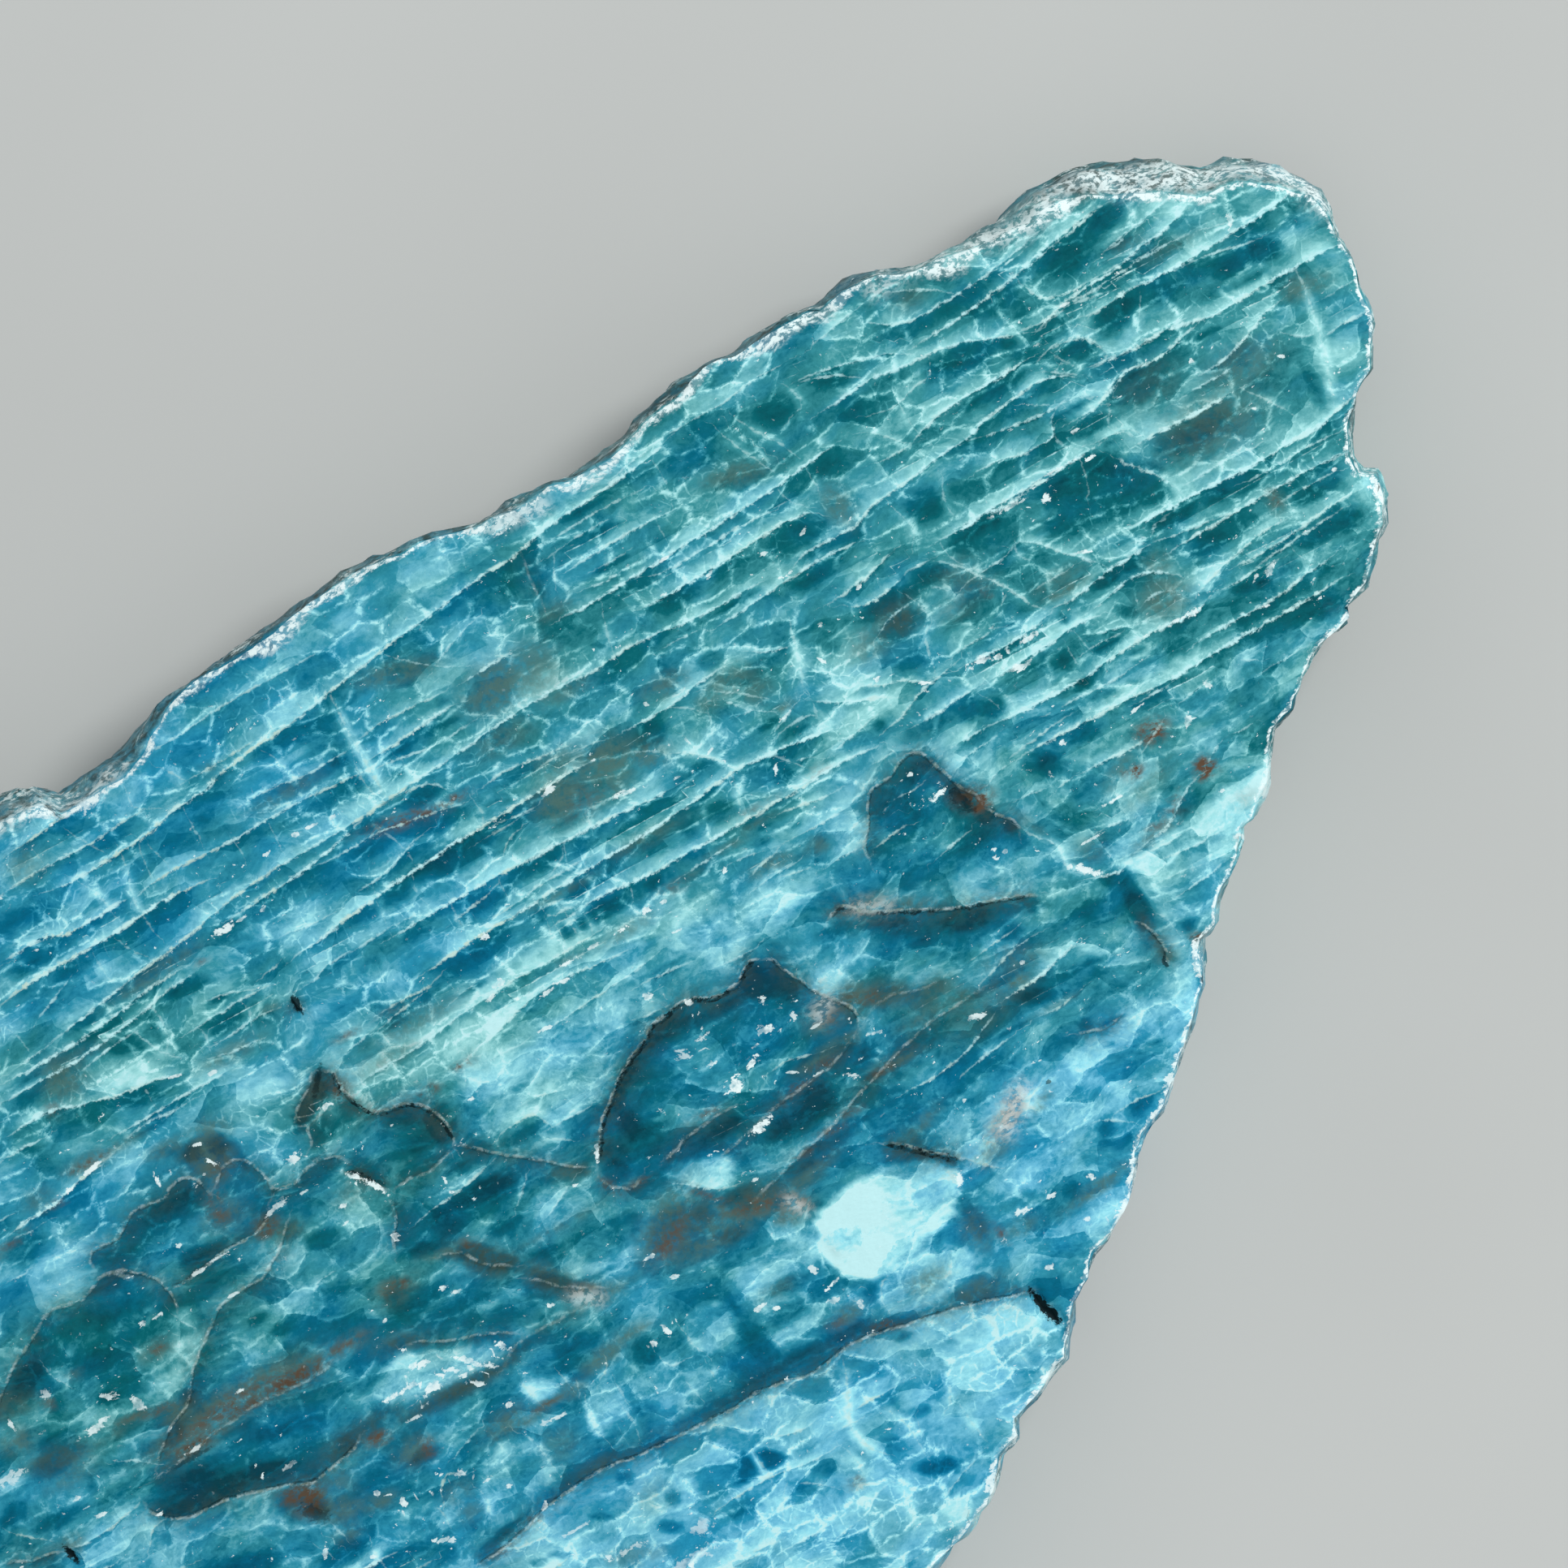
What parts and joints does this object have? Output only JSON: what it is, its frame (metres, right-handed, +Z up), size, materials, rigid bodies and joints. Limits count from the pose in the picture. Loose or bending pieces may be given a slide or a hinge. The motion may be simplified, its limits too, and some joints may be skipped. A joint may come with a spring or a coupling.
{
  "type": "blue apatite slice",
  "caption": "Flat sawn slice of veined blue-green stone with a rough natural edge, pointed at one end and broad at the other.",
  "frame": {"origin": "middle of the slice's outline, on its lower sawn face", "axes": "+X along the stone's growth lines, towards the pointed tip; +Z up out of the upper sawn face"},
  "size_m": [0.1048, 0.057, 0.006],
  "materials": {
    "apatite": "satin, sawn and lightly polished"
  },
  "bodies": {
    "root": {"apatite_slice": "apatite"}
  },
  "joints": []
}
